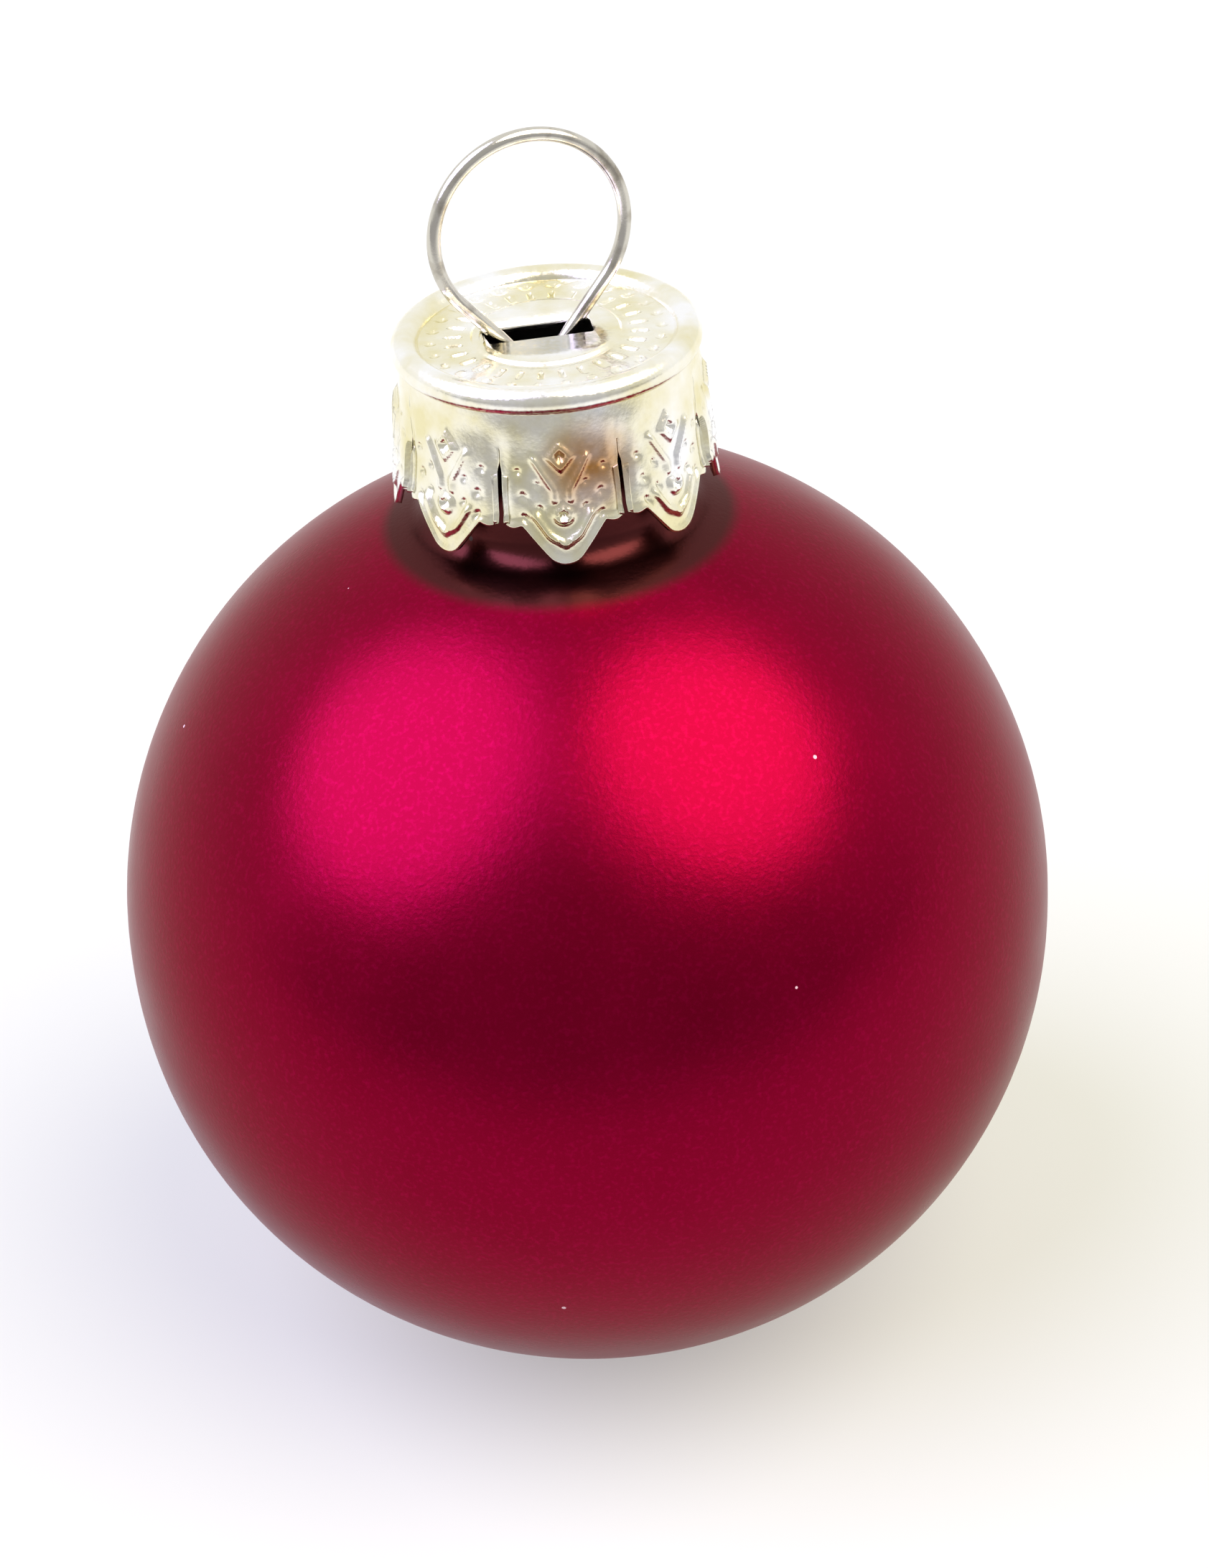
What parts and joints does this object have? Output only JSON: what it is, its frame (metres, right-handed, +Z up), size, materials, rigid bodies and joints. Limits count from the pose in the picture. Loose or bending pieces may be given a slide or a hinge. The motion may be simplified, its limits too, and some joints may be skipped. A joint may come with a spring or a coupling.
{
  "type": "glass ball ornament",
  "caption": "Small hanging ornament: a hollow blown glass ball with a scalloped metal cap over its neck and a spring-wire ring to hang it by.",
  "frame": {"origin": "inside top of the hanger's ring, where a hook or thread carries the ornament", "axes": "+Z up along the ornament's own axis; front towards -Y; the hanger's ring stands 17 degrees off the XZ plane. The ball and the cap stand 0.25 mm to +X of the origin, because the cap's slot is punched that much off its middle."},
  "size_m": [0.0301, 0.03, 0.0418],
  "materials": {
    "lacquered_glass": "thin blown glass, silvered inside and coated outside with a satin crimson lacquer, so it is opaque",
    "stamped_metal": "bright stamped sheet with a faint pale-gold tint",
    "spring_wire": "drawn spring wire, bright"
  },
  "bodies": {
    "hanger": {"hanger_ring": "spring_wire"},
    "left_spring": {"left_leg": "spring_wire"},
    "right_spring": {"right_leg": "spring_wire"},
    "cap": {"cap": "stamped_metal"},
    "ball": {"glass_ball": "lacquered_glass"}
  },
  "joints": [
    {"name": "cap_swing", "type": "hinge", "parent": "hanger", "child": "cap", "pos_m": [0, 0, -0.00603], "axis": [0.9563, 0.2924, 0], "range_deg": [-10, 10]},
    {"name": "ball_pull", "type": "slide", "parent": "cap", "child": "ball", "axis": [0, 0, -1], "range_m": [0, 0.012]},
    {"name": "left_leg_squeeze", "type": "hinge", "parent": "hanger", "child": "left_spring", "pos_m": [-0.00067, -0.00021, -0.00715], "axis": [0.2924, -0.9563, 0], "range_deg": [0, 18], "stiffness_Nm_per_rad": 0.03},
    {"name": "right_leg_squeeze", "type": "hinge", "parent": "hanger", "child": "right_spring", "pos_m": [0.00067, 0.00021, -0.00715], "axis": [-0.2924, 0.9563, 0], "range_deg": [0, 18], "stiffness_Nm_per_rad": 0.03}
  ]
}
